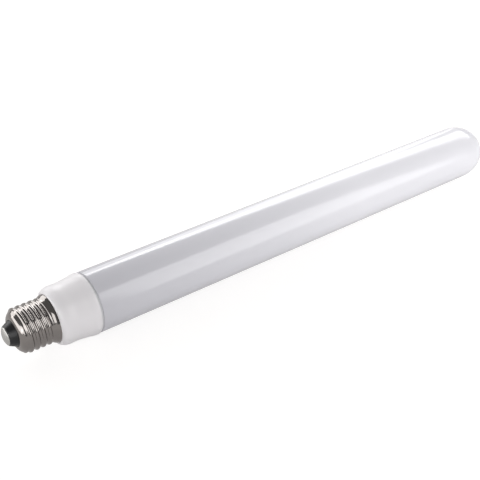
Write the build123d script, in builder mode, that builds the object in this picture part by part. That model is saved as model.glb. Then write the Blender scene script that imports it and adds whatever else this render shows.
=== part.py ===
from build123d import *
from math import asin, degrees
import os

# Tubular screw-cap lamp with an opal tube, in millimetres. The lamp lies along +X, from the
# tip of its centre contact at the origin to the end of its dome, and +Z is up. Radii are
# measured from the lamp's axis.

# Screw cap, with its flare measured back from the rim
cap_length = 27.6
sheet_thickness = 0.3
thread_pitch = 3.629
thread_major_radius = 13.1
thread_depth = 1.0
thread_crest_x = 6.31
thread_first_x = 7.6
thread_end_from_rim = 2.2
thread_fade = 1.9
root_land = 0.41
root_fill = 0.06
curl_x = 10.15
curl_radius = 4.4
curl_top_radius = 12.2
shell_mouth_radius = 7.7
flare_length = 3.0
flare_start_radius = 12.8
bell_length = 1.4
bell_radius = 13.7
rim_radius = 13.95

# Centre contact and the insulator that it is riveted through
contact_radius = 5.1
contact_dome = 1.4
contact_edge = 0.5
rivet_radius = 1.9
rivet_tail_radius = 2.8
rivet_tail_thickness = 0.6
nose_radius = 5.6
mouth_clearance = 0.15
flange_radius = 10.5
flange_thickness = 2.2
flange_chamfer = 0.6
flange_gap = 0.9

# Collar, with its lip measured from the tube and the rest of its side inwards from the lip
collar_length = 22.4
collar_wall = 1.6
rim_recess_depth = 0.2
rim_recess_clearance = 0.15
shoulder_length = 5.6
shoulder_inset = 1.28
waist_from_rim = 10.0
waist_inset = 1.34
swell_from_seam = 5.7
swell_inset = 0.65
lip_step = 0.3
lip_land = 1.6
lip_round = 0.5
neck_gap = 2.3
neck_wall = 1.3
neck_clearance = 0.25
spigot_length = 6.0
spigot_wall = 1.3
groove_width = 1.4
groove_depth = 0.55
groove_length = 5.5
groove_end_margin = 1.0

# Opal tube and its bond
tube_radius = 18.0
tube_wall = 1.2
tube_length = 319.3
dome_length = 19.4
mouth_round = 0.5
mouth_depth = 9.0
seam_gap = 1.1
seam_recess = 0.6
bond_thickness = 0.4
bond_clearance = 0.05

# Driver board: a tongue in the neck and a wide part between the collar's guides
board_thickness = 1.2
board_drop = 1.0
tongue_width = 15.0
tongue_margin = 1.1
board_width = 27.0
board_from_rim = 2.5
board_past_seam = 2.1
slot_clearance = 0.15
guide_bite = 1.2
guide_thickness = 1.2
pin_radius = 0.3
pin_hole_radius = 0.5
pin_tail = 1.0
seat_clearance = 0.05
wire_radius = 0.35
wire_bend = 1.0
lead_hole_clearance = 0.35

# Parts on the board. Their places along it are measured from the start of its wide part, and
# across it they fill the width between the guides, with these gaps.
guide_gap = 0.3
part_gap = 0.4
smoothing_radius = 4.0
smoothing_length = 16.0
smoothing_overhang = 9.1
smoothing_pin_pitch = 3.5
smoothing_pin_reach = 1.8
output_radius = 3.15
output_height = 10.0
output_from_board = 13.9
output_pin_pitch = 2.5
can_round = 0.5
can_groove_depth = 0.35
can_groove_from_end = 1.8
film_size = (9.0, 4.5, 7.5)
film_from_board = 15.4
film_from_guide = 2.05
film_pin_pitch = 7.5
choke_height = 8.0
choke_from_board = 3.4
choke_flange = 1.2
choke_post_radius = 1.8
choke_winding_inset = 0.4
choke_pin_pitch = 4.6
core_size = (11.0, 5.0, 9.0)
core_from_board = 14.9
core_yoke = 1.5
core_leg = 3.4
core_window = 2.6
winding_from_guide = 1.1
winding_clearance = 0.1
winding_pin_pitch = 6.4
winding_pin_margin = 1.0
fuse_radius = 1.5
fuse_length = 6.5
fuse_from_board = 5.4
fuse_from_guide = 2.3
fuse_pin_pitch = 9.2
rectifier_size = (6.5, 5.0, 2.3)
rectifier_from_board = 4.4
rectifier_leg_pitch = 5.1
chip_size = (4.9, 3.9, 1.5)
chip_leg_pitch = 1.27
leg_size = (0.45, 1.1, 0.25)
live_hole_before_can = 2.0
neutral_hole_before_can = 3.9
output_hole_margin = 1.2
output_hole_pitch = 3.0
output_lead_height = 1.5

contact_back_x = contact_dome + contact_edge
curl_r = curl_top_radius - curl_radius
curl_end_angle = 90 + degrees(asin((curl_r - shell_mouth_radius) / curl_radius))
thread_root_radius = thread_major_radius - thread_depth
core_radius = thread_root_radius + root_fill
ridge_base_radius = thread_root_radius - thread_depth / 4
thread_last_x = cap_length - thread_end_from_rim
flare_start_x = cap_length - flare_length
bell_x = cap_length - bell_length
shell_bore_radius = thread_root_radius - sheet_thickness
seam_x = cap_length + collar_length
mouth_x = seam_x + seam_gap
dome_tip_x = seam_x + tube_length
lip_radius = tube_radius + lip_step
tube_bore_radius = tube_radius - tube_wall
spigot_radius = tube_bore_radius - bond_thickness
collar_bore_radius = spigot_radius - spigot_wall
neck_radius = shell_bore_radius - neck_clearance
guide_inner_y = board_width / 2 - guide_bite
board_x = cap_length + board_from_rim
board_end_x = seam_x + board_past_seam
board_top = board_thickness / 2 - board_drop
board_bottom = board_top - board_thickness
seat_top = board_top + seat_clearance
seat_bottom = board_bottom - seat_clearance
pin_end = board_bottom - pin_tail

smoothing_x = board_x - smoothing_overhang
live_hole = (smoothing_x - live_hole_before_can, 0)
neutral_hole = (smoothing_x - neutral_hole_before_can, 0)
choke_radius = (guide_inner_y - guide_gap - smoothing_radius - part_gap) / 2
choke_winding_radius = choke_radius - choke_winding_inset
choke_place = (board_x + choke_from_board, guide_inner_y - guide_gap - choke_radius)
fuse_place = (board_x + fuse_from_board, fuse_from_guide + fuse_radius - guide_inner_y)
rectifier_place = (board_x + rectifier_from_board, 0)
film_place = (board_x + film_from_board, film_from_guide + film_size[1] / 2 - guide_inner_y)
film_inner_y = film_place[1] + film_size[1] / 2
output_place = (board_x + output_from_board, film_inner_y + part_gap + output_radius)
output_holes = (
    (board_end_x - output_hole_margin, -output_hole_pitch / 2),
    (board_end_x - output_hole_margin, -output_hole_pitch * 3 / 2),
)
winding_inner_y = output_place[1] + output_radius + guide_gap
winding_outer_y = guide_inner_y - winding_from_guide
winding_depth = winding_outer_y - winding_inner_y
core_place = (board_x + core_from_board, (winding_inner_y + winding_outer_y) / 2)

os.makedirs("parts", exist_ok=True)


# Two pin places about a part's own place on the board.
def pins_along_x(place, pitch):
    return [(place[0] - pitch / 2, place[1]), (place[0] + pitch / 2, place[1])]


def pins_along_y(place, pitch):
    return [(place[0], place[1] - pitch / 2), (place[0], place[1] + pitch / 2)]


# Straight pins that go down through the board from a part that stands on it.
def add_pins(places, top):
    with Locations([(x, y, pin_end) for x, y in places]):
        Cylinder(pin_radius, top - pin_end, align=(Align.CENTER, Align.CENTER, Align.MIN))


# A wire or pin of round section along a route with rounded corners.
def add_wire(points, radius):
    with BuildLine() as route:
        FilletPolyline(points, radius=wire_bend)
    with BuildSketch(Plane(origin=route.line @ 0, z_dir=route.line % 0)) as section:
        Circle(radius)
    sweep(section.sketch, path=route.line)


# The outline of an upright can from its axis outwards: rounded top, crimped groove low down.
def can_outline(radius, height):
    groove = can_groove_from_end
    with BuildLine() as outline:
        FilletPolyline(
            (0, height),
            (radius, height),
            (radius, groove + 2 * can_groove_depth),
            radius=can_round,
        )
        ThreePointArc(
            (radius, groove + 2 * can_groove_depth),
            (radius - can_groove_depth, groove),
            (radius, groove - 2 * can_groove_depth),
        )
        Polyline((radius, groove - 2 * can_groove_depth), (radius, 0), (0, 0), (0, height))
    make_face(outline.edges())


# Screw shell: plated brass sheet. The rolled thread is a ridge with a round crest and round
# flanks of one radius, carried along a helix round a core and trimmed away at both ends by a
# turned outline. The blank round it is curled in over the insulator and flared out against
# the collar, and fills the very bottom of the roots. The bore takes out the core.
with BuildPart() as screw_shell:
    half_pitch = thread_pitch / 2
    mid_radius = thread_root_radius + thread_depth / 2
    with BuildLine() as thread_path:
        Helix(
            thread_pitch,
            thread_last_x + thread_fade - thread_crest_x,
            thread_major_radius,
            center=(thread_crest_x, 0, 0),
            direction=(1, 0, 0),
        )
    with BuildSketch(Plane((thread_crest_x, 0, 0), x_dir=(1, 0, 0), z_dir=(0, -1, 0))):
        with BuildLine():
            crest = ThreePointArc(
                (-half_pitch / 2, mid_radius),
                (0, thread_major_radius),
                (half_pitch / 2, mid_radius),
            )
            TangentArc(crest @ 1, (half_pitch, thread_root_radius), tangent=crest % 1)
            TangentArc(crest @ 0, (-half_pitch, thread_root_radius), tangent=-(crest % 0))
            Polyline(
                (half_pitch, thread_root_radius),
                (half_pitch, ridge_base_radius),
                (-half_pitch, ridge_base_radius),
                (-half_pitch, thread_root_radius),
            )
        make_face()
        with Locations((0, mid_radius)):
            Rectangle(thread_pitch - root_land, thread_major_radius, mode=Mode.INTERSECT)
    sweep(is_frenet=True)
    with BuildSketch(Plane.XZ):
        Polygon(
            (thread_first_x, 0),
            (thread_first_x, core_radius),
            (thread_last_x, core_radius),
            (thread_last_x, 0),
            align=None,
        )
    revolve(axis=Axis.X)
    with BuildSketch(Plane.XZ):
        crest_limit = thread_major_radius + sheet_thickness
        Polygon(
            (thread_first_x, 0),
            (thread_first_x, thread_root_radius),
            (thread_first_x + thread_fade, crest_limit),
            (thread_last_x - thread_fade, crest_limit),
            (thread_last_x, thread_root_radius),
            (thread_last_x, 0),
            align=None,
        )
    revolve(axis=Axis.X, mode=Mode.INTERSECT)
    with BuildSketch(Plane.XZ):
        with BuildLine():
            curl = CenterArc((curl_x, curl_r), curl_radius, 90, curl_end_angle)
            Polyline(
                curl @ 1,
                ((curl @ 1).X, 0),
                (cap_length, 0),
                (cap_length, rim_radius),
                (bell_x, bell_radius),
                (flare_start_x, flare_start_radius),
                (flare_start_x - thread_fade, core_radius),
                (curl_x + thread_fade, core_radius),
                curl @ 0,
            )
        make_face()
    revolve(axis=Axis.X)
    with BuildSketch(Plane.XZ):
        with BuildLine():
            inner_curl = CenterArc(
                (curl_x, curl_r), curl_radius - sheet_thickness, 90, curl_end_angle
            )
            Polyline(
                inner_curl @ 1,
                ((curl @ 1).X - sheet_thickness, (inner_curl @ 1).Y),
                ((curl @ 1).X - sheet_thickness, 0),
                (cap_length, 0),
                (cap_length, rim_radius - sheet_thickness),
                (bell_x, bell_radius - sheet_thickness),
                (flare_start_x, flare_start_radius - sheet_thickness),
                (flare_start_x - thread_fade, shell_bore_radius),
                (curl_x + thread_fade, shell_bore_radius),
                inner_curl @ 0,
            )
        make_face()
    revolve(axis=Axis.X, mode=Mode.SUBTRACT)
    mouth_x_of_shell = (curl @ 1).X
screw_shell.part.label = "screw_shell"
export_step(screw_shell.part, "parts/screw_shell.step")

# Insulator: one black moulding, a cone outside the shell's mouth and a flange inside it.
with BuildPart() as insulator:
    with BuildSketch(Plane.XZ):
        insulator_mouth_radius = shell_mouth_radius - mouth_clearance
        flange_x = mouth_x_of_shell + sheet_thickness + flange_gap
        insulator_back_x = flange_x + flange_thickness
        Polygon(
            (contact_back_x, 0),
            (contact_back_x, nose_radius),
            (mouth_x_of_shell, insulator_mouth_radius),
            (flange_x, insulator_mouth_radius),
            (flange_x, flange_radius - flange_chamfer),
            (flange_x + flange_chamfer, flange_radius),
            (insulator_back_x, flange_radius),
            (insulator_back_x, 0),
            align=None,
        )
    revolve(axis=Axis.X)
    with BuildSketch(Plane.YZ.offset(contact_back_x)):
        Circle(rivet_radius + mouth_clearance)
    extrude(until=Until.LAST, mode=Mode.SUBTRACT)
insulator.part.label = "insulator"
export_step(insulator.part, "parts/insulator.step")

# Centre contact: a domed disc with its rivet, set over behind the insulator.
with BuildPart() as centre_contact:
    rivet_back_x = insulator_back_x + seat_clearance + rivet_tail_thickness
    with BuildSketch(Plane.XZ):
        with BuildLine():
            TangentArc((0, 0), (contact_dome, contact_radius), tangent=(0, 1))
            Polyline(
                (contact_dome, contact_radius),
                (contact_back_x, contact_radius),
                (contact_back_x, rivet_radius),
                (insulator_back_x + seat_clearance, rivet_radius),
                (insulator_back_x + seat_clearance, rivet_tail_radius),
                (rivet_back_x, rivet_tail_radius),
                (rivet_back_x, 0),
                (0, 0),
            )
        make_face()
    revolve(axis=Axis.X)
centre_contact.part.label = "centre_contact"
export_step(centre_contact.part, "parts/centre_contact.step")

# Collar: a white moulding, thin-walled throughout. Its neck goes into the screw shell, its
# face takes the shell's rim, its waisted body holds the board in two slotted guides and its
# spigot goes into the tube.
with BuildPart() as collar:
    front_x = cap_length - rim_recess_depth
    recess_radius = rim_radius + rim_recess_clearance
    inner_front_x = cap_length + collar_wall
    neck_x = rivet_back_x + neck_gap
    spigot_end_x = seam_x + spigot_length
    with BuildSketch(Plane.XZ):
        with BuildLine():
            EllipticalCenterArc(
                (front_x + shoulder_length, recess_radius),
                shoulder_length,
                lip_radius - shoulder_inset - recess_radius,
                start_angle=90,
                arc_size=90,
            )
            side = Spline(
                (front_x + shoulder_length, lip_radius - shoulder_inset),
                (cap_length + waist_from_rim, lip_radius - waist_inset),
                (seam_x - swell_from_seam, lip_radius - swell_inset),
                (seam_x - lip_land, lip_radius),
                tangents=((1, 0), (1, 0)),
            )
            Line(side @ 1, (seam_x - lip_round, lip_radius))
            CenterArc((seam_x - lip_round, lip_radius - lip_round), lip_round, 0, 90)
            Polyline(
                (seam_x, lip_radius - lip_round),
                (seam_x, spigot_radius),
                (spigot_end_x, spigot_radius),
                (spigot_end_x, collar_bore_radius),
                (inner_front_x, collar_bore_radius),
                (inner_front_x, neck_radius - neck_wall),
                (neck_x, neck_radius - neck_wall),
                (neck_x, neck_radius),
                (cap_length, neck_radius),
                (cap_length, recess_radius),
                (front_x, recess_radius),
            )
        make_face()
    revolve(axis=Axis.X)
    slot_height = board_thickness + 2 * slot_clearance
    guide_height = slot_height + 2 * guide_thickness
    guide_length = seam_x - board_x
    guide_outer_y = collar_bore_radius + spigot_wall / 2
    for side_sign in (-1, 1):
        guide_y = side_sign * (guide_inner_y + guide_outer_y) / 2
        with Locations((board_x + guide_length / 2, guide_y, -board_drop)):
            Box(guide_length, guide_outer_y - guide_inner_y, guide_height)
    with Locations((board_x + guide_length / 2, 0, -board_drop)):
        Box(guide_length, board_width + 2 * slot_clearance, slot_height, mode=Mode.SUBTRACT)
    with Locations((neck_x, 0, -neck_radius)):
        Box(2 * groove_length, groove_width, 2 * groove_depth, mode=Mode.SUBTRACT)
collar.part.label = "collar"
export_step(collar.part, "parts/collar.step")

# Opal tube: blown with a round end, and closed to view. Only its mouth is open, as deep as
# the collar's spigot and the ends of the output leads need.
with BuildPart() as opal_tube:
    with BuildSketch(Plane.XZ):
        with BuildLine():
            EllipticalCenterArc(
                (dome_tip_x - dome_length, 0), dome_length, tube_radius, start_angle=0, arc_size=90
            )
            Line((dome_tip_x - dome_length, tube_radius), (mouth_x + mouth_round, tube_radius))
            CenterArc((mouth_x + mouth_round, tube_radius - mouth_round), mouth_round, 90, 90)
            Polyline(
                (mouth_x, tube_radius - mouth_round),
                (mouth_x, tube_bore_radius),
                (mouth_x + mouth_depth, tube_bore_radius),
                (mouth_x + mouth_depth, 0),
                (dome_tip_x, 0),
            )
        make_face()
    revolve(axis=Axis.X)
opal_tube.part.label = "opal_tube"
export_step(opal_tube.part, "parts/opal_tube.step")

# Bond: a grey bead of adhesive, recessed in the seam and drawn out thin round the spigot.
with BuildPart() as seam_bond:
    with BuildSketch(Plane.XZ):
        Polygon(
            (seam_x, spigot_radius + bond_clearance),
            (seam_x, tube_radius - seam_recess),
            (mouth_x, tube_radius - seam_recess),
            (mouth_x, tube_bore_radius - bond_clearance),
            (spigot_end_x, tube_bore_radius - bond_clearance),
            (spigot_end_x, spigot_radius + bond_clearance),
            align=None,
        )
    revolve(axis=Axis.X)
seam_bond.part.label = "seam_bond"
export_step(seam_bond.part, "parts/seam_bond.step")

# Driver board: a tongue in the cap's neck and a wide part in the collar, with a hole for
# each pin and lead that comes through it.
smoothing_end_x = smoothing_x + smoothing_length
smoothing_pins = pins_along_y((smoothing_end_x + smoothing_pin_reach, 0), smoothing_pin_pitch)
output_pins = pins_along_y(output_place, output_pin_pitch)
film_pins = pins_along_x(film_place, film_pin_pitch)
choke_pins = pins_along_x(choke_place, choke_pin_pitch)
fuse_pins = pins_along_x(fuse_place, fuse_pin_pitch)
winding_pin_y = winding_depth / 2 - winding_pin_margin
winding_pins = [
    (core_place[0] + x * winding_pin_pitch / 2, core_place[1] + y * winding_pin_y)
    for x in (-1, 1)
    for y in (-1, 1)
]
pin_holes = smoothing_pins + output_pins + film_pins + choke_pins + fuse_pins + winding_pins
lead_holes = [live_hole, neutral_hole, *output_holes]
with BuildPart() as driver_board:
    with BuildSketch(Plane.XY.offset(board_bottom)):
        tongue_x = neutral_hole[0] - tongue_margin
        Polygon(
            (tongue_x, -tongue_width / 2),
            (board_x, -tongue_width / 2),
            (board_x, -board_width / 2),
            (board_end_x, -board_width / 2),
            (board_end_x, board_width / 2),
            (board_x, board_width / 2),
            (board_x, tongue_width / 2),
            (tongue_x, tongue_width / 2),
            align=None,
        )
        with Locations(pin_holes):
            Circle(pin_hole_radius, mode=Mode.SUBTRACT)
        with Locations(lead_holes):
            Circle(wire_radius + lead_hole_clearance, mode=Mode.SUBTRACT)
    extrude(amount=board_thickness)
driver_board.part.label = "driver_board"
export_step(driver_board.part, "parts/driver_board.step")

# Smoothing capacitor: the largest can, lying on the board's tongue in the neck.
with BuildPart() as smoothing_capacitor:
    smoothing_z = seat_top + smoothing_radius
    smoothing_foot = (smoothing_end_x, 0, smoothing_z)
    with BuildSketch(Plane(smoothing_foot, x_dir=(0, 0, 1), z_dir=(0, -1, 0))):
        can_outline(smoothing_radius, smoothing_length)
    revolve(axis=Axis(smoothing_foot, (-1, 0, 0)))
    for x, y in smoothing_pins:
        add_wire([(smoothing_end_x, y, smoothing_z), (x, y, smoothing_z), (x, y, pin_end)], pin_radius)
smoothing_capacitor.part.label = "smoothing_capacitor"
export_step(smoothing_capacitor.part, "parts/smoothing_capacitor.step")

# Output capacitor: a smaller can, standing.
with BuildPart() as output_capacitor:
    output_foot = (*output_place, seat_top)
    with BuildSketch(Plane(output_foot, x_dir=(1, 0, 0), z_dir=(0, -1, 0))):
        can_outline(output_radius, output_height)
    revolve(axis=Axis(output_foot, (0, 0, 1)))
    add_pins(output_pins, seat_top + can_round)
output_capacitor.part.label = "output_capacitor"
export_step(output_capacitor.part, "parts/output_capacitor.step")

# Film capacitor: a potted box.
with BuildPart() as film_capacitor:
    with Locations((*film_place, seat_top)):
        Box(*film_size, align=(Align.CENTER, Align.CENTER, Align.MIN))
    fillet(film_capacitor.edges().filter_by(Axis.Z), can_round)
    add_pins(film_pins, seat_top + can_round)
film_capacitor.part.label = "film_capacitor"
export_step(film_capacitor.part, "parts/film_capacitor.step")

# Input choke: a ferrite drum on two pins, and its winding round the post.
with BuildPart() as choke_core:
    for height in (0, choke_height - choke_flange):
        with Locations((*choke_place, seat_top + height)):
            Cylinder(choke_radius, choke_flange, align=(Align.CENTER, Align.CENTER, Align.MIN))
    with Locations((*choke_place, seat_top)):
        Cylinder(choke_post_radius, choke_height, align=(Align.CENTER, Align.CENTER, Align.MIN))
    add_pins(choke_pins, seat_top + choke_flange / 2)
choke_core.part.label = "choke_core"
export_step(choke_core.part, "parts/choke_core.step")

with BuildPart() as choke_winding:
    with BuildSketch(Plane.XY.offset(seat_top + choke_flange + seat_clearance)):
        with Locations(choke_place):
            Circle(choke_winding_radius)
            Circle(choke_post_radius + seat_clearance, mode=Mode.SUBTRACT)
    extrude(amount=choke_height - 2 * choke_flange - 2 * seat_clearance)
choke_winding.part.label = "choke_winding"
export_step(choke_winding.part, "parts/choke_winding.step")

# Transformer: a ferrite core with two windows, and a winding on the leg between them.
with BuildPart() as transformer_core:
    core_x, core_y, core_z = core_size
    core_floor = seat_top + seat_clearance
    window_height = core_z - 2 * core_yoke
    with Locations((*core_place, core_floor)):
        Box(core_x, core_y, core_z, align=(Align.CENTER, Align.CENTER, Align.MIN))
    for side_sign in (-1, 1):
        window_x = core_place[0] + side_sign * (core_leg + core_window) / 2
        with Locations((window_x, core_place[1], core_floor + core_z / 2)):
            Box(core_window, core_y, window_height, mode=Mode.SUBTRACT)
transformer_core.part.label = "transformer_core"
export_step(transformer_core.part, "parts/transformer_core.step")

with BuildPart() as transformer_winding:
    winding_height = window_height - 2 * winding_clearance
    winding_width = core_leg + 2 * core_window - 2 * winding_clearance
    with BuildSketch(Plane.XY.offset(core_floor + core_yoke + winding_clearance)):
        with Locations(core_place):
            RectangleRounded(winding_width, winding_depth, core_window / 2)
            leg_hole = (core_leg + 2 * winding_clearance, core_y + 2 * winding_clearance)
            Rectangle(*leg_hole, mode=Mode.SUBTRACT)
    extrude(amount=winding_height)
    add_pins(winding_pins, core_floor + core_yoke + winding_clearance + winding_height / 2)
transformer_winding.part.label = "transformer_winding"
export_step(transformer_winding.part, "parts/transformer_winding.step")

# Fusible resistor: lying, with its leads bent down at both ends.
with BuildPart() as fusible_resistor:
    fuse_z = seat_top + fuse_radius
    with Locations(Location((*fuse_place, fuse_z), (0, 90, 0))):
        Cylinder(fuse_radius, fuse_length)
    fillet(fusible_resistor.edges().filter_by(GeomType.CIRCLE), can_round)
    for x, y in fuse_pins:
        add_wire([(fuse_place[0], y, fuse_z), (x, y, fuse_z), (x, y, pin_end)], pin_radius)
fusible_resistor.part.label = "fusible_resistor"
export_step(fusible_resistor.part, "parts/fusible_resistor.step")


# A moulded chip hung under the board, with a row of legs on each long side.
def add_chip(place, size, legs_a_side, pitch):
    with Locations((*place, seat_bottom)):
        Box(*size, align=(Align.CENTER, Align.CENTER, Align.MAX))
    for side_sign in (-1, 1):
        leg_y = place[1] + side_sign * (size[1] + leg_size[1]) / 2
        with Locations((place[0], leg_y, seat_bottom)):
            with GridLocations(pitch, 1, legs_a_side, 1):
                Box(*leg_size, align=(Align.CENTER, Align.CENTER, Align.MAX))


with BuildPart() as bridge_rectifier:
    add_chip(rectifier_place, rectifier_size, 2, rectifier_leg_pitch)
bridge_rectifier.part.label = "bridge_rectifier"
export_step(bridge_rectifier.part, "parts/bridge_rectifier.step")

with BuildPart() as driver_chip:
    add_chip(core_place, chip_size, 4, chip_leg_pitch)
driver_chip.part.label = "driver_chip"
export_step(driver_chip.part, "parts/driver_chip.step")

# Live lead: from the contact's rivet to the front of the board.
with BuildPart() as live_lead:
    live_x, live_y = live_hole
    add_wire([(rivet_back_x, 0, 0), (live_x, live_y, 0), (live_x, live_y, pin_end)], wire_radius)
live_lead.part.label = "live_lead"
export_step(live_lead.part, "parts/live_lead.step")

# Neutral lead: from under the board round the neck's edge into its groove, where the screw
# shell grips it.
with BuildPart() as neutral_lead:
    neutral_x, neutral_y = neutral_hole
    fold_x = (insulator_back_x + neck_x) / 2
    groove_z = -(neck_radius - groove_depth + wire_radius + seat_clearance)
    drop_z = pin_end - 2 * wire_bend
    add_wire(
        [
            (neutral_x, neutral_y, -board_drop),
            (neutral_x, neutral_y, drop_z),
            (fold_x, neutral_y, (drop_z + groove_z) / 2),
            (fold_x, neutral_y, groove_z),
            (neck_x + groove_length - groove_end_margin, neutral_y, groove_z),
        ],
        wire_radius,
    )
neutral_lead.part.label = "neutral_lead"
export_step(neutral_lead.part, "parts/neutral_lead.step")

# Output leads: from the back of the board to the light source behind the tube's mouth.
with BuildPart() as output_lead_front:
    front_lead_x, front_lead_y = output_holes[0]
    add_wire(
        [
            (front_lead_x, front_lead_y, pin_end),
            (front_lead_x, front_lead_y, output_lead_height),
            (mouth_x + mouth_depth, front_lead_y, output_lead_height),
        ],
        wire_radius,
    )
output_lead_front.part.label = "output_lead_front"
export_step(output_lead_front.part, "parts/output_lead_front.step")

with BuildPart() as output_lead_rear:
    rear_lead_x, rear_lead_y = output_holes[1]
    add_wire(
        [
            (rear_lead_x, rear_lead_y, pin_end),
            (rear_lead_x, rear_lead_y, output_lead_height),
            (mouth_x + mouth_depth, rear_lead_y, output_lead_height),
        ],
        wire_radius,
    )
output_lead_rear.part.label = "output_lead_rear"
export_step(output_lead_rear.part, "parts/output_lead_rear.step")
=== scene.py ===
import math
import bmesh
import bpy
import numpy as np
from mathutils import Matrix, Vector


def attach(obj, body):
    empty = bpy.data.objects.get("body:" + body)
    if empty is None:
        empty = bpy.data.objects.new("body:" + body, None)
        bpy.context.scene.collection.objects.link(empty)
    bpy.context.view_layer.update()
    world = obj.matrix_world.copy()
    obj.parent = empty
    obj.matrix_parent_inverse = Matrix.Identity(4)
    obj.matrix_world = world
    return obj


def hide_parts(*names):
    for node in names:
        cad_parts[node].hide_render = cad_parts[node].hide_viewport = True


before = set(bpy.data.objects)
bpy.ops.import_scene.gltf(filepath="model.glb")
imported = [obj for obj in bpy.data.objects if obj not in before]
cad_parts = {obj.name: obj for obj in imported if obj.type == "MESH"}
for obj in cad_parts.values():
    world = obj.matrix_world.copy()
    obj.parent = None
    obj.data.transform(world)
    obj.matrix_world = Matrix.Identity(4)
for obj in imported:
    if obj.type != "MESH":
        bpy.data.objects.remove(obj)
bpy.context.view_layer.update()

# A tubular screw-cap lamp. It lies along +X from the tip of its centre contact, with +Z up.
# Sizes are in millimetres from that tip and from the lamp's axis, and become metres where a
# mesh is written.

# Screw shell.
# One piece of brass sheet, rolled with a round right-hand thread, curled in over the insulator
# at one end and flared out against the collar at the other, then plated with nickel.
METRE = 1000.0
SHEET = 0.3
THREAD_PITCH = 3.629
THREAD_CREST_RADIUS = 13.1
THREAD_DEPTH = 1.0
THREAD_CREST_X = 5.403
THREAD_FIRST_X = 7.6
THREAD_LAST_X = 25.4
THREAD_FADE = 1.9
CURL_X = 10.15
CURL_RADIUS = 4.4
CURL_TOP_RADIUS = 12.2
SHELL_MOUTH_RADIUS = 7.7
BODY_RADIUS = 12.16
FLARE_START_X = 22.7
FLARE_X = 24.6
FLARE_RADIUS = 12.8
BELL_X = 26.2
BELL_RADIUS = 13.7
RIM_X = 27.6
RIM_RADIUS = 13.95
RIM_SLOPE = 0.12
STEPS_ON_CURL = 34
STEPS_ON_BODY = 210
STEPS_AROUND = 160
MERGE_WITHIN = 1e-7
NICKEL = "#A09B98"
NICKEL_ROUGHNESS = 0.14
NICKEL_SMOOTHEST = 0.06
NICKEL_ROUGHEST = 0.15
ROLL_MARK_WIDTH = 0.5
ROLL_MARK_LENGTH = 7.0
ROLL_MARK_DEPTH = 0.06


def ease(value):
    """A smooth step from 0 to 1: three value squared less two value cubed, held at both ends."""
    value = np.clip(value, 0.0, 1.0)
    return value * value * (3.0 - 2.0 * value)


def smooth_through(knots_x, knots_r, x, first_slope=0.0, last_slope=0.0):
    """A curve through a few points with smooth slopes: between two points it is the cubic that
    has their heights and slopes, and an inner point's slope is that of its two neighbours.
    """
    knots_x = np.asarray(knots_x, float)
    knots_r = np.asarray(knots_r, float)
    slope = np.empty_like(knots_r)
    slope[1:-1] = (knots_r[2:] - knots_r[:-2]) / (knots_x[2:] - knots_x[:-2])
    slope[0] = first_slope
    slope[-1] = last_slope
    left = np.clip(np.searchsorted(knots_x, x) - 1, 0, len(knots_x) - 2)
    step = knots_x[left + 1] - knots_x[left]
    t = (x - knots_x[left]) / step
    return (
        knots_r[left] * (1 + 2 * t) * (1 - t) ** 2
        + slope[left] * step * t * (1 - t) ** 2
        + knots_r[left + 1] * t**2 * (3 - 2 * t)
        + slope[left + 1] * step * t**2 * (t - 1)
    )


def thread_wave(along):
    """Height of the thread, 0 at its root and 1 on its crest, at a distance past a crest.

    A crest arc and a root arc meet halfway down. Both have one radius: half the pitch squared
    plus the depth squared, over four times the depth.
    """
    half = THREAD_PITCH / 2
    arc = (half**2 + THREAD_DEPTH**2) / (4 * THREAD_DEPTH)
    offset = np.abs((along / THREAD_PITCH + 0.5) % 1.0 - 0.5) * THREAD_PITCH
    crest = THREAD_DEPTH - arc + np.sqrt(arc**2 - np.minimum(offset, half / 2) ** 2)
    root = arc - np.sqrt(arc**2 - (half - np.maximum(offset, half / 2)) ** 2)
    return np.where(offset < half / 2, crest, root) / THREAD_DEPTH


def surface(name, x, y, z, closed_along=False, pole_first=False, pole_last=False):
    """A mesh from three arrays in millimetres, one row for each step along and one column for
    each step around. Columns always close on themselves. Rows may close too, and a pole is a
    first or last row drawn together into one point, with its spare points merged away.
    """
    rows, columns = x.shape
    row = np.arange(rows if closed_along else rows - 1)[:, None]
    column = np.arange(columns)[None, :]
    after = (row + 1) % rows
    beside = (column + 1) % columns
    corners = np.stack(
        [
            row * columns + column,
            row * columns + beside,
            after * columns + beside,
            after * columns + column,
        ],
        axis=-1,
    ).reshape(-1, 4)
    mesh = bpy.data.meshes.new(name)
    points = np.stack([x, y, z], axis=-1).reshape(-1, 3) / METRE
    mesh.from_pydata(points, [], corners)
    work = bmesh.new()
    work.from_mesh(mesh)
    if pole_first or pole_last:
        bmesh.ops.remove_doubles(work, verts=work.verts, dist=MERGE_WITHIN)
    bmesh.ops.recalc_face_normals(work, faces=work.faces)
    work.to_mesh(mesh)
    work.free()
    mesh.polygons.foreach_set("use_smooth", np.ones(len(mesh.polygons), dtype=bool))
    piece = bpy.data.objects.new(name, mesh)
    bpy.context.collection.objects.link(piece)
    return piece


def turned(name, along, radius, **closing):
    """A turned surface: the outline (along, radius) carried round the lamp's axis."""
    turn = np.linspace(0.0, 2 * np.pi, STEPS_AROUND, endpoint=False)
    x = np.repeat(np.asarray(along, float)[:, None], STEPS_AROUND, axis=1)
    radius = np.asarray(radius, float)[:, None]
    return surface(name, x, radius * np.cos(turn), radius * np.sin(turn), **closing)


def linear(hex_colour):
    """An sRGB hex colour as linear red, green, blue and full alpha. A channel up to 0.04045 is
    divided by 12.92. A larger one has 0.055 added, is divided by 1.055 and is raised to 2.4.
    """
    channels = [int(hex_colour[i : i + 2], 16) / 255 for i in (1, 3, 5)]
    light = [c / 12.92 if c <= 0.04045 else ((c + 0.055) / 1.055) ** 2.4 for c in channels]
    return (*light, 1.0)


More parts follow.
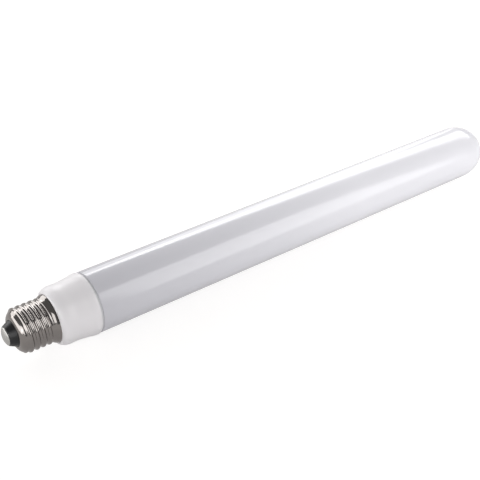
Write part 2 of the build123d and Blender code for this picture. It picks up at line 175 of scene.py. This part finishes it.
def node(tree, kind, links=(), **settings):
    """Adds one node. Settings with a plain name are its own, those with in_ are its inputs, by
    name or number. Each link is (output socket, name or number of this node's input).
    """
    made = tree.nodes.new(kind)
    for key, value in settings.items():
        if key.startswith("in_"):
            name = key.removeprefix("in_")
            socket = int(name) if name.isdigit() else name.replace("_", " ")
            made.inputs[socket].default_value = value
        else:
            setattr(made, key, value)
    for output, target in links:
        tree.links.new(output, made.inputs[target])
    return made


def finish_of(name, colour, roughness, metallic=0.0):
    """A Principled finish with its name. Returns the material, its tree, shader and position.
    Where a pattern takes a value over, the plain one is for a viewer that can't draw patterns.
    """
    material = bpy.data.materials.new(name)
    material.use_nodes = True
    tree = material.node_tree
    shader = tree.nodes["Principled BSDF"]
    shader.inputs["Base Color"].default_value = linear(colour)
    shader.inputs["Roughness"].default_value = roughness
    shader.inputs["Metallic"].default_value = metallic
    place = node(tree, "ShaderNodeTexCoord")
    return material, tree, shader, place.outputs["Object"]


def clouds(tree, place, size, detail):
    """A cloudy pattern with patches about size millimetres across: a thousand over size of them
    to the metre. Detail is how many finer layers lie on it, each twice as fine as the last.
    """
    return node(
        tree, "ShaderNodeTexNoise", [(place, "Vector")], in_Scale=METRE / size, in_Detail=detail
    )


def stretched(tree, place, size_along, size_across, detail):
    """A cloudy pattern with patches of one size along the lamp and another across it. The
    mapping scales it, so the pattern itself keeps a scale of one.
    """
    squeeze = node(
        tree,
        "ShaderNodeMapping",
        [(place, "Vector")],
        in_Scale=(METRE / size_along, METRE / size_across, METRE / size_across),
    )
    return clouds(tree, squeeze.outputs["Vector"], METRE, detail)


def dented(tree, shader, pattern, strength, depth):
    """Dents a finish by a pattern, as deep as the strength times a depth in millimetres."""
    bump = node(
        tree,
        "ShaderNodeBump",
        [(pattern.outputs["Fac"], "Height")],
        in_Strength=strength,
        in_Distance=depth / METRE,
    )
    tree.links.new(bump.outputs["Normal"], shader.inputs["Normal"])


def patchy(tree, shader, pattern, smoothest, roughest, low=0.0, high=1.0):
    """Lets a pattern set the roughness: the smoothest where it is at its low value, the
    roughest at its high one, and in proportion between.
    """
    rough = node(
        tree,
        "ShaderNodeMapRange",
        [(pattern.outputs["Fac"], "Value")],
        in_From_Min=low,
        in_From_Max=high,
        in_To_Min=smoothest,
        in_To_Max=roughest,
    )
    tree.links.new(rough.outputs["Result"], shader.inputs["Roughness"])


def wear(piece, material):
    """Gives a piece its one material."""
    piece.data.materials.clear()
    piece.data.materials.append(material)


def shell_outline(inset):
    """Place along the lamp and base radius for one face of the sheet, from lip to rim.

    A quarter turn of the curl comes first, then a smooth curve through the body, the start of
    the flare, the bell and the rim.
    """
    curl_r = CURL_TOP_RADIUS - CURL_RADIUS
    lip_turn = math.asin((curl_r - SHELL_MOUTH_RADIUS) / CURL_RADIUS)
    turn = np.linspace(math.pi + lip_turn, math.pi / 2, STEPS_ON_CURL)
    bend = CURL_RADIUS - inset
    curl_along = CURL_X + bend * np.cos(turn)
    curl_radius = curl_r + bend * np.sin(turn)
    body_along = np.linspace(CURL_X, RIM_X, STEPS_ON_BODY)[1:]
    body_radius = smooth_through(
        [CURL_X, CURL_X + THREAD_FADE, FLARE_START_X, FLARE_X, BELL_X, RIM_X],
        [CURL_TOP_RADIUS, BODY_RADIUS, BODY_RADIUS, FLARE_RADIUS, BELL_RADIUS, RIM_RADIUS],
        body_along,
        last_slope=RIM_SLOPE,
    )
    along = np.concatenate([curl_along, body_along])
    return along, np.concatenate([curl_radius, body_radius - inset])


# The thread stands on the plain outline where it is higher, and it fades in and out.
turn = np.linspace(0.0, 2 * np.pi, STEPS_AROUND, endpoint=False)
faces_of_sheet = []
for inset in (0.0, SHEET):
    along, base = shell_outline(inset)
    fade_in = ease((along - THREAD_FIRST_X) / THREAD_FADE)
    fade_out = ease((THREAD_LAST_X - along) / THREAD_FADE)
    rise = fade_in * fade_out
    root = THREAD_CREST_RADIUS - THREAD_DEPTH - inset
    past_crest = along[:, None] - THREAD_CREST_X - THREAD_PITCH * turn[None, :] / (2 * np.pi)
    thread = root + THREAD_DEPTH * thread_wave(past_crest)
    higher = np.maximum(thread - base[:, None], 0.0)
    radius = base[:, None] + rise[:, None] * higher
    faces_of_sheet.append((np.repeat(along[:, None], STEPS_AROUND, axis=1), radius))
(outer_x, outer_r), (inner_x, inner_r) = faces_of_sheet
shell_x = np.concatenate([outer_x, inner_x[::-1]])
shell_r = np.concatenate([outer_r, inner_r[::-1]])
shell = surface(
    "rolled_screw_shell", shell_x, shell_r * np.cos(turn), shell_r * np.sin(turn), closed_along=True
)

# Bright nickel on rolled brass is a warm grey metal, not quite a mirror, streaked round by the
# thread rolls. Real streaks are about a tenth as wide, and are drawn as coarse as they show.
nickel, tree, shader, place = finish_of(
    "rolled bright nickel plate", NICKEL, NICKEL_ROUGHNESS, metallic=1.0
)
roll_marks = stretched(tree, place, ROLL_MARK_WIDTH, ROLL_MARK_LENGTH, detail=2.0)
patchy(tree, shader, roll_marks, NICKEL_SMOOTHEST, NICKEL_ROUGHEST, low=0.3, high=0.7)
dented(tree, shader, roll_marks, strength=0.1, depth=ROLL_MARK_DEPTH)
wear(shell, nickel)
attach(shell, "root")
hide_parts("screw_shell")

# Insulator.
# A black heat-resisting moulding. Its cone stands out of the shell's mouth and carries the
# centre contact; a flange behind the curled sheet holds it in.
CONTACT_BACK_X = 1.9
RIVET_HOLE_RADIUS = 2.05
NOSE_RADIUS = 5.6
CONE_END_X = 5.751
CONE_END_RADIUS = 7.55
FLANGE_X = 6.951
FLANGE_RADIUS = 10.5
FLANGE_CHAMFER = 0.6
FLANGE_BACK_X = 9.151
NOSE_ROUND = 0.25
CONE_ROUND = 0.3
FLANGE_EDGE = 0.1
PHENOLIC = "#1B1B1D"
PHENOLIC_ROUGHNESS = 0.32
PHENOLIC_SMOOTHEST = 0.25
PHENOLIC_ROUGHEST = 0.4
FLOW_MARK = 2.0


def rounded(corners, radii, steps=6):
    """An outline through corners, each rounded by an arc of its own radius, or sharp at 0.

    The arc leaves both sides at radius / tan(half the inner angle) from the corner, and its
    points are turned about its centre in equal steps.
    """
    points = np.asarray(corners, float)
    path = [points[0]]
    for index in range(1, len(points) - 1):
        corner = points[index]
        back = points[index - 1] - corner
        ahead = points[index + 1] - corner
        back /= np.linalg.norm(back)
        ahead /= np.linalg.norm(ahead)
        radius = radii[index]
        if radius <= 0:
            path.append(corner)
            continue
        half = math.acos(np.clip(back @ ahead, -1, 1)) / 2
        middle = (back + ahead) / np.linalg.norm(back + ahead)
        centre = corner + middle * radius / math.sin(half)
        first = corner + back * radius / math.tan(half) - centre
        last = corner + ahead * radius / math.tan(half) - centre
        sweep = math.atan2(first[0] * last[1] - first[1] * last[0], first @ last)
        for angle in np.linspace(0, sweep, steps):
            cosine, sine = math.cos(angle), math.sin(angle)
            path.append(centre + np.array([[cosine, -sine], [sine, cosine]]) @ first)
    path.append(points[-1])
    return np.array(path)


insulator_outline = rounded(
    [
        (CONTACT_BACK_X, RIVET_HOLE_RADIUS),
        (CONTACT_BACK_X, NOSE_RADIUS),
        (CONE_END_X, CONE_END_RADIUS),
        (FLANGE_X, CONE_END_RADIUS),
        (FLANGE_X, FLANGE_RADIUS - FLANGE_CHAMFER),
        (FLANGE_X + FLANGE_CHAMFER, FLANGE_RADIUS),
        (FLANGE_BACK_X, FLANGE_RADIUS),
        (FLANGE_BACK_X, RIVET_HOLE_RADIUS),
    ],
    [0, NOSE_ROUND, CONE_ROUND, 0, FLANGE_EDGE, FLANGE_EDGE, CONE_ROUND, 0],
)
insulator = turned(
    "moulded_insulator", insulator_outline[:, 0], insulator_outline[:, 1], closed_along=True
)
# Phenolic is black and half glossy, uneven in patches about two millimetres wide where it
# flowed in the mould.
black, tree, shader, place = finish_of("black phenolic moulding", PHENOLIC, PHENOLIC_ROUGHNESS)
flow = clouds(tree, place, FLOW_MARK, detail=4.0)
patchy(tree, shader, flow, PHENOLIC_SMOOTHEST, PHENOLIC_ROUGHEST)
wear(insulator, black)
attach(insulator, "root")
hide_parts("insulator")

# Centre contact.
# A domed disc stamped in tinned brass, with a rivet set over behind the insulator. It is the
# lamp's live end, and its tip is where the frame starts.
CONTACT_RADIUS = 5.1
CONTACT_DOME = 1.4
CONTACT_ROUND = 0.3
RIVET_RADIUS = 1.9
RIVET_TAIL_X = 9.201
RIVET_TAIL_RADIUS = 2.8
RIVET_BACK_X = 9.801
RIVET_EDGE = 0.1
RIVET_ROUND = 0.2
STEPS_ON_CONTACT = 24
TIN = "#CFCECB"
TIN_ROUGHNESS = 0.34
PIT = 0.8
PIT_DEPTH = 0.05

# The dome is a cap of a ball, whose radius follows from the disc's radius and the dome's height.
contact_radius = np.linspace(0, CONTACT_RADIUS, STEPS_ON_CONTACT)
dome_ball = (CONTACT_RADIUS**2 + CONTACT_DOME**2) / (2 * CONTACT_DOME)
contact_along = dome_ball - np.sqrt(dome_ball**2 - contact_radius**2)
contact_edge = rounded(
    [
        (contact_along[-2], contact_radius[-2]),
        (contact_along[-1], contact_radius[-1]),
        (CONTACT_BACK_X, CONTACT_RADIUS),
        (CONTACT_BACK_X, RIVET_RADIUS),
        (RIVET_TAIL_X, RIVET_RADIUS),
        (RIVET_TAIL_X, RIVET_TAIL_RADIUS),
        (RIVET_BACK_X, RIVET_TAIL_RADIUS),
        (RIVET_BACK_X, 0.0),
    ],
    [0, CONTACT_ROUND, CONTACT_ROUND / 2, 0, 0, RIVET_EDGE, RIVET_ROUND, 0],
)
contact = turned(
    "domed_centre_contact",
    np.concatenate([contact_along[:-2], contact_edge[:, 0]]),
    np.concatenate([contact_radius[:-2], contact_edge[:, 1]]),
    pole_first=True,
    pole_last=True,
)
# Tin is a pale, dull metal, with dents under a millimetre wide from stamping and from the
# springs of sockets.
tinned, tree, shader, place = finish_of("tinned brass contact", TIN, TIN_ROUGHNESS, metallic=1.0)
pits = clouds(tree, place, PIT, detail=5.0)
dented(tree, shader, pits, strength=0.3, depth=PIT_DEPTH)
wear(contact, tinned)
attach(contact, "root")
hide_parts("centre_contact")

# Collar.
# A thin-walled white moulding in fire-safe plastic. Its face takes the shell's rim, its body
# is slightly waisted, and its lip stands a little proud of the tube at the seam.
COLLAR_FRONT_X = 27.4
RECESS_RADIUS = 14.1
SHOULDER_LENGTH = 5.6
SHOULDER_RADIUS = 17.02
WAIST_X = 37.6
WAIST_RADIUS = 16.96
SWELL_X = 44.3
SWELL_RADIUS = 17.65
LIP_RADIUS = 18.3
LIP_LAND = 1.6
LIP_ROUND = 0.5
SEAM_X = 50.0
SPIGOT_RADIUS = 16.4
SPIGOT_END_X = 56.0
COLLAR_BORE_RADIUS = 15.1
NECK_RADIUS = 11.55
NECK_BORE_RADIUS = 10.25
NECK_X = 12.1
COLLAR_INNER_X = 29.2
COLLAR_EDGE = 0.2
COLLAR_INNER_ROUND = 0.3
RECESS_EDGE = 0.1
FRONT_EDGE = 0.05
STEPS_ON_SHOULDER = 22
STEPS_ON_SIDE = 40
PBT = "#E9E6E8"
PBT_ROUGHNESS = 0.34
MOULD_GRAIN = 0.5
MOULD_GRAIN_DEPTH = 0.04

# The shoulder is a quarter of an ellipse, and the side a smooth curve through waist and swell.
shoulder_turn = np.linspace(math.pi, math.pi / 2, STEPS_ON_SHOULDER)
shoulder_x = COLLAR_FRONT_X + SHOULDER_LENGTH * (1 + np.cos(shoulder_turn))
shoulder_r = RECESS_RADIUS + (SHOULDER_RADIUS - RECESS_RADIUS) * np.sin(shoulder_turn)
side_x = np.linspace(COLLAR_FRONT_X + SHOULDER_LENGTH, SEAM_X - LIP_LAND, STEPS_ON_SIDE)[1:]
side_r = smooth_through(
    [COLLAR_FRONT_X + SHOULDER_LENGTH, WAIST_X, SWELL_X, SEAM_X - LIP_LAND],
    [SHOULDER_RADIUS, WAIST_RADIUS, SWELL_RADIUS, LIP_RADIUS],
    side_x,
)
collar_inside = rounded(
    [
        (SEAM_X - LIP_LAND / 2, LIP_RADIUS),
        (SEAM_X, LIP_RADIUS),
        (SEAM_X, SPIGOT_RADIUS),
        (SPIGOT_END_X, SPIGOT_RADIUS),
        (SPIGOT_END_X, COLLAR_BORE_RADIUS),
        (COLLAR_INNER_X, COLLAR_BORE_RADIUS),
        (COLLAR_INNER_X, NECK_BORE_RADIUS),
        (NECK_X, NECK_BORE_RADIUS),
        (NECK_X, NECK_RADIUS),
        (RIM_X, NECK_RADIUS),
        (RIM_X, RECESS_RADIUS),
        (COLLAR_FRONT_X + FRONT_EDGE, RECESS_RADIUS),
    ],
    [0, LIP_ROUND]
    + [COLLAR_EDGE] * 3
    + [COLLAR_INNER_ROUND] * 2
    + [COLLAR_EDGE] * 2
    + [RECESS_EDGE] * 2
    + [0],
)
collar = turned(
    "moulded_collar",
    np.concatenate([shoulder_x, side_x, collar_inside[:, 0]]),
    np.concatenate([shoulder_r, side_r, collar_inside[:, 1]]),
    closed_along=True,
)
# The plastic is white with a soft sheen, from a mould that was sparked to a fine grain. The
# real grain is about a fifth as wide, and is drawn as coarse as it shows.
white_plastic, tree, shader, place = finish_of("moulded white PBT", PBT, PBT_ROUGHNESS)
grain = clouds(tree, place, MOULD_GRAIN, detail=2.0)
dented(tree, shader, grain, strength=0.12, depth=MOULD_GRAIN_DEPTH)
wear(collar, white_plastic)
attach(collar, "root")
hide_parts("collar")

# Seam bond.
# A bead of grey adhesive holds the tube on the collar's spigot. It shows as a thin recessed
# line between the collar's lip and the tube's rounded mouth.
ADHESIVE = "#D6D6D8"
ADHESIVE_ROUGHNESS = 0.6
RIPPLE = 1.5
RIPPLE_DEPTH = 0.1

# Cured adhesive is a dull pale grey, rippled every millimetre or two where it was wiped.
bond, tree, shader, place = finish_of("cured grey adhesive", ADHESIVE, ADHESIVE_ROUGHNESS)
ripples = clouds(tree, place, RIPPLE, detail=3.0)
dented(tree, shader, ripples, strength=0.4, depth=RIPPLE_DEPTH)
wear(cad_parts["seam_bond"], bond)

# Opal tube.
# A blown tube of opal glass, closed by a round end. Its mouth slips over the collar's spigot
# and is bonded there. The light source inside can't be seen.
MOUTH_X = 51.1
TUBE_RADIUS = 18.0
MOUTH_ROUND = 0.5
MOUTH_DEPTH = 9.0
TUBE_BORE_RADIUS = 16.8
DOME_TIP_X = 369.3
DOME_LENGTH = 19.4
MOUTH_INNER_EDGE = 0.2
MOUTH_FLOOR_ROUND = 0.5
STEPS_ON_DOME = 40
STEPS_ON_WALL = 60
OPAL = "#E6E6EA"
# Painted shade and light: the opal is painted greyer at the mouth and lighter towards the round
# end.
OPAL_SHADED_AT_MOUTH = "#CCCBD1"
OPAL_LIT_BEYOND = "#F6F5FA"
PAINTED_SHADE_TO_X = 245.0
OPAL_ROUGHNESS = 0.14
GLASS_IOR = 1.5
WAVE_LENGTH = 60.0
WAVE_WIDTH = 8.0
WAVE_DEPTH = 0.2

# The dome is half an ellipsoid.
dome_turn = np.linspace(0, math.pi / 2, STEPS_ON_DOME)
dome_x = DOME_TIP_X - DOME_LENGTH * (1 - np.cos(dome_turn))
dome_r = TUBE_RADIUS * np.sin(dome_turn)
wall_x = np.linspace(DOME_TIP_X - DOME_LENGTH, MOUTH_X + 2 * MOUTH_ROUND, STEPS_ON_WALL)[1:]
mouth_outline = rounded(
    [
        (MOUTH_X + 1.5 * MOUTH_ROUND, TUBE_RADIUS),
        (MOUTH_X, TUBE_RADIUS),
        (MOUTH_X, TUBE_BORE_RADIUS),
        (MOUTH_X + MOUTH_DEPTH, TUBE_BORE_RADIUS),
        (MOUTH_X + MOUTH_DEPTH, 0.0),
    ],
    [0, MOUTH_ROUND, MOUTH_INNER_EDGE, MOUTH_FLOOR_ROUND, 0],
)
tube = turned(
    "blown_opal_tube",
    np.concatenate([dome_x, wall_x, mouth_outline[:, 0]]),
    np.concatenate([dome_r, np.full_like(wall_x, TUBE_RADIUS), mouth_outline[:, 1]]),
    pole_first=True,
    pole_last=True,
)
# Opal glass is smooth and glossy over a cloudy white body. Its colour is painted greyer near the
# collar and lighter towards the round end, as painted shade and painted light along the tube.
# Drawing the tube left very shallow waves in it, some centimetres long and under a centimetre wide.
opal, tree, shader, place = finish_of("glossy opal glass with painted shade", OPAL, OPAL_ROUGHNESS)
shader.inputs["IOR"].default_value = GLASS_IOR
axes = node(tree, "ShaderNodeSeparateXYZ", [(place, "Vector")])
# Painted shade along the tube: the colour runs from the greyer one at the mouth to the lighter one.
shade_from_collar = node(
    tree,
    "ShaderNodeMapRange",
    [(axes.outputs["X"], "Value")],
    in_From_Min=MOUTH_X / METRE,
    in_From_Max=PAINTED_SHADE_TO_X / METRE,
)
# A Mix node's two colours are its inputs 6 and 7, and their mixture is its output 2.
painted_shade_mix = node(
    tree,
    "ShaderNodeMix",
    [(shade_from_collar.outputs["Result"], 0)],
    data_type="RGBA",
    in_6=linear(OPAL_SHADED_AT_MOUTH),
    in_7=linear(OPAL_LIT_BEYOND),
)
tree.links.new(painted_shade_mix.outputs[2], shader.inputs["Base Color"])
waves = stretched(tree, place, WAVE_LENGTH, WAVE_WIDTH, detail=1.0)
dented(tree, shader, waves, strength=0.1, depth=WAVE_DEPTH)
wear(tube, opal)
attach(tube, "root")
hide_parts("opal_tube")

# Driver.
# The board and the parts on it are hidden in the collar and the cap. Each has the finish of
# the real part, as its name says: its colour, its roughness, how much of a metal it is, and
# the size of its grain, drawn coarser than the real one so that it would show.
GRAIN_DEPTH = 0.05
FINISHES = {
    "green solder resist": ("#1F5A33", 0.35, 0.0, 0.6, ["driver_board"]),
    "black shrink sleeve": ("#1B1C22", 0.3, 0.0, 1.5, ["smoothing_capacitor", "output_capacitor"]),
    "yellow potted box": ("#C99A2E", 0.4, 0.0, 1.0, ["film_capacitor"]),
    "sintered ferrite": ("#3A3A3C", 0.6, 0.2, 0.4, ["choke_core", "transformer_core"]),
    "enamelled copper": ("#A4572A", 0.3, 0.8, 0.5, ["choke_winding", "transformer_winding"]),
    "dipped resistor coat": ("#5F8F86", 0.45, 0.0, 0.8, ["fusible_resistor"]),
    "moulded epoxy": ("#1A1A1B", 0.55, 0.0, 0.5, ["bridge_rectifier", "driver_chip"]),
    "insulated wire": (
        "#B9B9BA",
        0.4,
        0.0,
        0.7,
        ["live_lead", "neutral_lead", "output_lead_front", "output_lead_rear"],
    ),
}
for name, (colour, roughness, metallic, grain_size, nodes) in FINISHES.items():
    material, tree, shader, place = finish_of(name, colour, roughness, metallic)
    grain = clouds(tree, place, grain_size, detail=2.0)
    dented(tree, shader, grain, strength=0.2, depth=GRAIN_DEPTH)
    for inner in nodes:
        wear(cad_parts[inner], material)

# Floor.
# A plain white floor that the lamp lies on with its lip. It is white to the camera and warm
# grey in the metal, and it keeps the lamp's soft shadow.
FLOOR_HALF = 3000.0 / METRE
FLOOR_Z = -LIP_RADIUS / METRE
FLOOR_WHITE = "#F0F0F0"
FLOOR_ROUGHNESS = 0.9
FLOOR_SHOWN = "#9D9A98"
GLOW_IN_METAL = 0.3
GLOW_TO_CAMERA = 0.79
floor_mesh = bpy.data.meshes.new("floor")
floor_mesh.from_pydata(
    [
        (-FLOOR_HALF, -FLOOR_HALF, FLOOR_Z),
        (FLOOR_HALF, -FLOOR_HALF, FLOOR_Z),
        (FLOOR_HALF, FLOOR_HALF, FLOOR_Z),
        (-FLOOR_HALF, FLOOR_HALF, FLOOR_Z),
    ],
    [],
    [(0, 1, 2, 3)],
)
floor = bpy.data.objects.new("floor", floor_mesh)
bpy.context.collection.objects.link(floor)
# Dull white paper, with no pattern. To the camera and in reflections it is drawn as a greyer
# paint with a glow of its own, which reaches white for the camera and is weaker in the metal.
paper, tree, shader, _ = finish_of("white studio floor", FLOOR_WHITE, FLOOR_ROUGHNESS)
output = tree.nodes["Material Output"]
ray = node(tree, "ShaderNodeLightPath")
mirrored = node(
    tree,
    "ShaderNodeMath",
    [(ray.outputs["Is Glossy Ray"], 0), (ray.outputs["Is Transmission Ray"], 1)],
    operation="MAXIMUM",
)
seen = node(
    tree,
    "ShaderNodeMath",
    [(ray.outputs["Is Camera Ray"], 0), (mirrored.outputs["Value"], 1)],
    operation="MAXIMUM",
)
strength = node(
    tree,
    "ShaderNodeMapRange",
    [(ray.outputs["Is Camera Ray"], "Value")],
    in_To_Min=GLOW_IN_METAL,
    in_To_Max=GLOW_TO_CAMERA,
)
glow = node(
    tree,
    "ShaderNodeEmission",
    [(strength.outputs["Result"], "Strength")],
    in_Color=linear("#FFFFFF"),
)
lit = node(tree, "ShaderNodeBsdfDiffuse", in_Color=linear(FLOOR_SHOWN))
shown = node(
    tree, "ShaderNodeAddShader", [(lit.outputs["BSDF"], 0), (glow.outputs["Emission"], 1)]
)
choice = node(
    tree,
    "ShaderNodeMixShader",
    [(seen.outputs["Value"], 0), (shader.outputs["BSDF"], 1), (shown.outputs["Shader"], 2)],
)
tree.links.new(choice.outputs["Shader"], output.inputs["Surface"])
wear(floor, paper)

# Studio.
# Five soft lights stand round the lamp with dark gaps between them, in a dim room. Each has
# its place, its tilt and spin in degrees, its width and height in metres and its brightness,
# where 1 is white paper. A flat lamp's power is pi times its brightness and its area.
ROOM_BRIGHTNESS = 0.17
LIGHTS = {
    "overhead_softbox": ((1.55, 1.0, 1.2), (0, 26.6), 0.9, 2.8, 4.6),
    "back_softbox": ((0.3, 1.3, 0.66), (90, 180), 2.8, 1.0, 2.1),
    "left_softbox": ((-1.0, 0.4, 0.3), (90, -90), 1.8, 0.62, 2.2),
    "front_left_softbox": ((-0.67, -0.58, 0.4), (90, -50), 0.6, 0.7, 1.9),
    "front_right_softbox": ((0.76, -0.8, 0.55), (90, 0), 0.72, 1.1, 3.1),
}
for name, (place_of_light, (tilt, spin), width, height, brightness) in LIGHTS.items():
    lamp = bpy.data.lights.new(name, "AREA")
    lamp.shape = "RECTANGLE"
    lamp.size = width
    lamp.size_y = height
    lamp.energy = brightness * math.pi * width * height
    light = bpy.data.objects.new(name, lamp)
    light.location = place_of_light
    light.rotation_euler = (math.radians(tilt), 0.0, math.radians(spin))
    bpy.context.collection.objects.link(light)
world = bpy.data.worlds.new("dim room")
world.use_nodes = True
world.node_tree.nodes["Background"].inputs["Color"].default_value = linear("#FFFFFF")
world.node_tree.nodes["Background"].inputs["Strength"].default_value = ROOM_BRIGHTNESS
bpy.context.scene.world = world
bpy.context.scene.view_settings.view_transform = "Standard"

# Camera.
# It looks down over the cap towards the round end, from where the photograph was taken. Its
# place follows from how many metres the seam's centre lies to its right, below and ahead.
FRAME_PX = 480
FOCAL_PX = 915.3
SENSOR_MM = 36.0
LOOK_DOWN = math.radians(32.80)
LOOK_ROUND = math.radians(-37.13)
SEAM_RIGHT = -0.085101
SEAM_DOWN = 0.035108
SEAM_AHEAD = 0.507417
CLIP_START = 0.01
camera_data = bpy.data.cameras.new("camera")
camera_data.sensor_width = SENSOR_MM
camera_data.lens = FOCAL_PX * SENSOR_MM / FRAME_PX
camera_data.clip_start = CLIP_START
camera = bpy.data.objects.new("camera", camera_data)
camera.rotation_euler = (math.pi / 2 - LOOK_DOWN, 0.0, LOOK_ROUND)
seam = Vector((SEAM_X / METRE, 0.0, 0.0))
from_camera = Vector((SEAM_RIGHT, -SEAM_DOWN, -SEAM_AHEAD))
from_camera.rotate(camera.rotation_euler)
camera.location = seam - from_camera
bpy.context.collection.objects.link(camera)
bpy.context.scene.camera = camera
